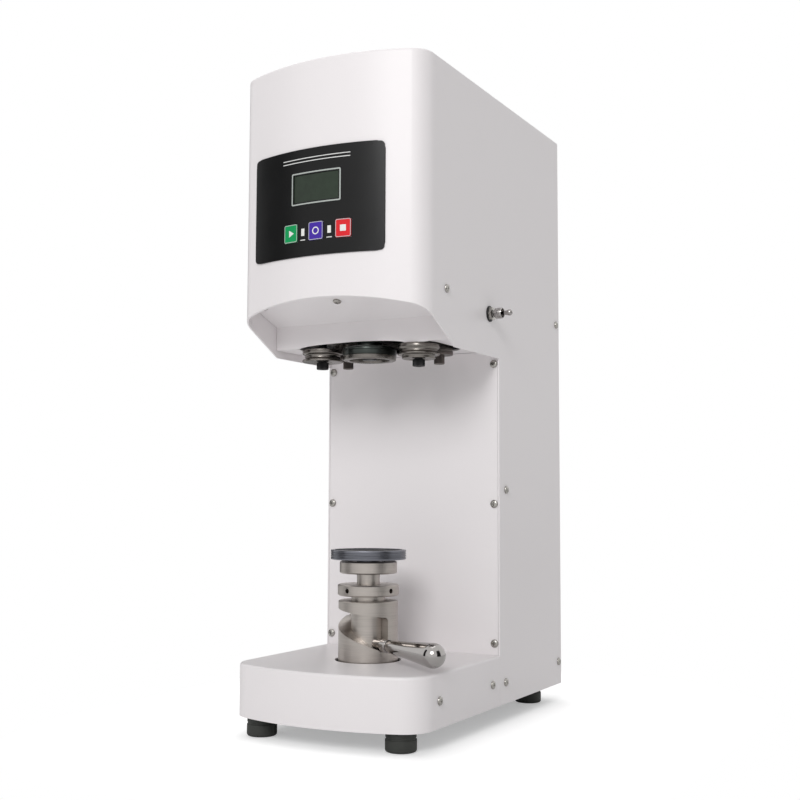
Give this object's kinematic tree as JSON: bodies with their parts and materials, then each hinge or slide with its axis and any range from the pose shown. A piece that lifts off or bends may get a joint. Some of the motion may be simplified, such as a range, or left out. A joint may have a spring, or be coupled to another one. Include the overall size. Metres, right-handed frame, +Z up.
{
  "type": "can seamer",
  "caption": "Bench-top can seamer: bowed white casing, chuck and swinging seaming rollers above, lever-lifted turntable below.",
  "frame": {"origin": "on the floor under the middle of the whole outline; the seaming axis stands at x -10.65 mm, y -74.75 mm", "axes": "+Z up, -Y to the operator's side where the panel is, +X to the side with the toggle switch"},
  "size_m": [0.2158, 0.3416, 0.597],
  "materials": {
    "white_coat": "white gloss powder coat",
    "raw_plate": "zinc-plated sheet",
    "cast_plate": "milled",
    "stainless": "satin turned",
    "polished": "mirror polished",
    "tool_steel": "ground",
    "screws": "nickel plated",
    "black_screws": "black oxide",
    "dark_rim": "dark anodised",
    "rubber": "matt moulded",
    "pad_rubber": "matt",
    "overlay": "printed membrane",
    "screen_frame": "light grey",
    "screen": "green-grey display",
    "green": "printed key",
    "blue": "printed key",
    "red": "printed key",
    "lamps": "translucent",
    "bronze": "sintered bush",
    "belt": "moulded belt",
    "motor": "dark enamel",
    "board": "lacquered board",
    "supply": "pressed case",
    "inlet": "moulded"
  },
  "bodies": {
    "machine": {"main_shell": "white_coat", "base_cover": "white_coat", "base_plate": "raw_plate", "column_front_panel": "white_coat", "rear_panel": "white_coat", "under_plate": "white_coat", "column_posts": "raw_plate", "head_plate": "cast_plate", "rubber_feet": "rubber", "foot_screws": "screws", "casing_screws": "screws", "chin_screws": "screws", "cam_sleeve": "stainless", "sleeve_bolts": "black_screws", "guide_bush": "bronze", "pivot_bolts": "screws", "spindle_quill": "cast_plate", "spindle_bearings": "tool_steel", "main_motor": "motor", "seaming_gearmotor": "motor", "drive_belt": "belt", "panel_overlay": "overlay", "lcd_frame": "screen_frame", "lcd_glass": "screen", "indicator_lamps": "lamps", "display_board": "board", "toggle_switch": "inlet", "toggle_nut": "screws", "power_inlet": "inlet", "power_supply": "supply", "control_board": "board"},
    "lift_spindle": {"spindle_core": "tool_steel"},
    "lever": {"lift_piston": "stainless", "lever_rod": "polished", "lever_grip": "polished"},
    "height_ring": {"adjusting_ring": "stainless"},
    "table_stem": {"height_stem": "stainless", "bearing_housing": "stainless", "turntable_bearing": "tool_steel"},
    "turntable": {"platform": "dark_rim", "rubber_pad": "pad_rubber"},
    "chuck": {"seaming_chuck": "polished", "chuck_bolt": "black_screws", "chuck_shaft": "tool_steel", "driven_pulley": "cast_plate"},
    "motor_drive": {"motor_pulley": "cast_plate"},
    "cam": {"seaming_cam": "tool_steel"},
    "left_swing_arm": {"left_arm": "tool_steel", "left_roller_bolt": "black_screws"},
    "right_swing_arm": {"right_arm": "tool_steel", "right_roller_bolt": "black_screws"},
    "first_roller": {"left_roller": "polished"},
    "second_roller": {"right_roller": "polished"},
    "spring": {"arm_spring": "screws"},
    "green_button": {"green_key": "green"},
    "blue_button": {"blue_key": "blue"},
    "red_button": {"red_key": "red"},
    "switch_bat": {"toggle_bat": "polished"}
  },
  "joints": [
    {"name": "spindle_lift", "type": "slide", "parent": "machine", "child": "lift_spindle", "axis": [0, 0, 1], "range_m": [0, 0.0263]},
    {"name": "lever_swing", "type": "hinge", "parent": "lift_spindle", "child": "lever", "pos_m": [-0.01065, -0.07475, 0.0785], "axis": [0, 0, -1], "range_deg": [0, 150]},
    {"name": "ring_turn", "type": "hinge", "parent": "lift_spindle", "child": "height_ring", "pos_m": [-0.01065, -0.07475, 0.12615], "axis": [0, 0, 1], "range_deg": [-1080, 1800]},
    {"name": "stem_lift", "type": "slide", "parent": "lift_spindle", "child": "table_stem", "axis": [0, 0, 1], "range_m": [-0.00602, 0.01002]},
    {"name": "turntable_spin", "type": "hinge", "parent": "table_stem", "child": "turntable", "pos_m": [-0.01065, -0.07475, 0.158], "axis": [0, 0, 1], "continuous": true},
    {"name": "chuck_spin", "type": "hinge", "parent": "machine", "child": "chuck", "pos_m": [-0.01065, -0.07475, 0.343], "axis": [0, 0, 1], "continuous": true},
    {"name": "motor_spin", "type": "hinge", "parent": "machine", "child": "motor_drive", "pos_m": [-0.01065, 0.10325, 0.49], "axis": [0, 0, 1], "continuous": true},
    {"name": "cam_turn", "type": "hinge", "parent": "machine", "child": "cam", "pos_m": [-0.01065, 0.02525, 0.355], "axis": [0, 0, 1], "range_deg": [-60, 60]},
    {"name": "left_arm_swing", "type": "hinge", "parent": "machine", "child": "left_swing_arm", "pos_m": [-0.06065, -0.02975, 0.362], "axis": [0, 0, 1], "range_deg": [-6.3, 6.3]},
    {"name": "right_arm_swing", "type": "hinge", "parent": "machine", "child": "right_swing_arm", "pos_m": [0.03935, -0.02975, 0.362], "axis": [0, 0, 1], "range_deg": [-6.3, 6.3]},
    {"name": "spring_shift", "type": "slide", "parent": "machine", "child": "spring", "axis": [1, 0, 0], "range_m": [-0.0044, 0.0044]},
    {"name": "left_roller_spin", "type": "hinge", "parent": "left_swing_arm", "child": "first_roller", "pos_m": [-0.06215, -0.07475, 0.344], "axis": [0, 0, 1], "continuous": true},
    {"name": "right_roller_spin", "type": "hinge", "parent": "right_swing_arm", "child": "second_roller", "pos_m": [0.04085, -0.07475, 0.344], "axis": [0, 0, 1], "continuous": true},
    {"name": "green_key_press", "type": "slide", "parent": "machine", "child": "green_button", "axis": [0, 1, 0], "range_m": [0, 0.0004], "stiffness_N_per_m": 500, "springref_m": -0.0002},
    {"name": "blue_key_press", "type": "slide", "parent": "machine", "child": "blue_button", "axis": [0, 1, 0], "range_m": [0, 0.0004], "stiffness_N_per_m": 500, "springref_m": -0.0002},
    {"name": "red_key_press", "type": "slide", "parent": "machine", "child": "red_button", "axis": [0, 1, 0], "range_m": [0, 0.0004], "stiffness_N_per_m": 500, "springref_m": -0.0002},
    {"name": "switch_tilt", "type": "hinge", "parent": "machine", "child": "switch_bat", "pos_m": [0.08985, -0.01425, 0.3828], "axis": [0, 1, 0], "range_deg": [-12, 12]}
  ],
  "couplings": [
    {"joint": "spindle_lift", "follows": "lever_swing", "m_per_rad": 0.010027},
    {"joint": "stem_lift", "follows": "ring_turn", "m_per_rad": 0.00031831},
    {"joint": "motor_spin", "follows": "chuck_spin", "ratio": 2},
    {"joint": "cam_turn", "follows": "left_arm_swing", "ratio": 9.5238},
    {"joint": "right_arm_swing", "follows": "left_arm_swing", "ratio": 1},
    {"joint": "spring_shift", "follows": "left_arm_swing", "m_per_rad": -0.04}
  ]
}
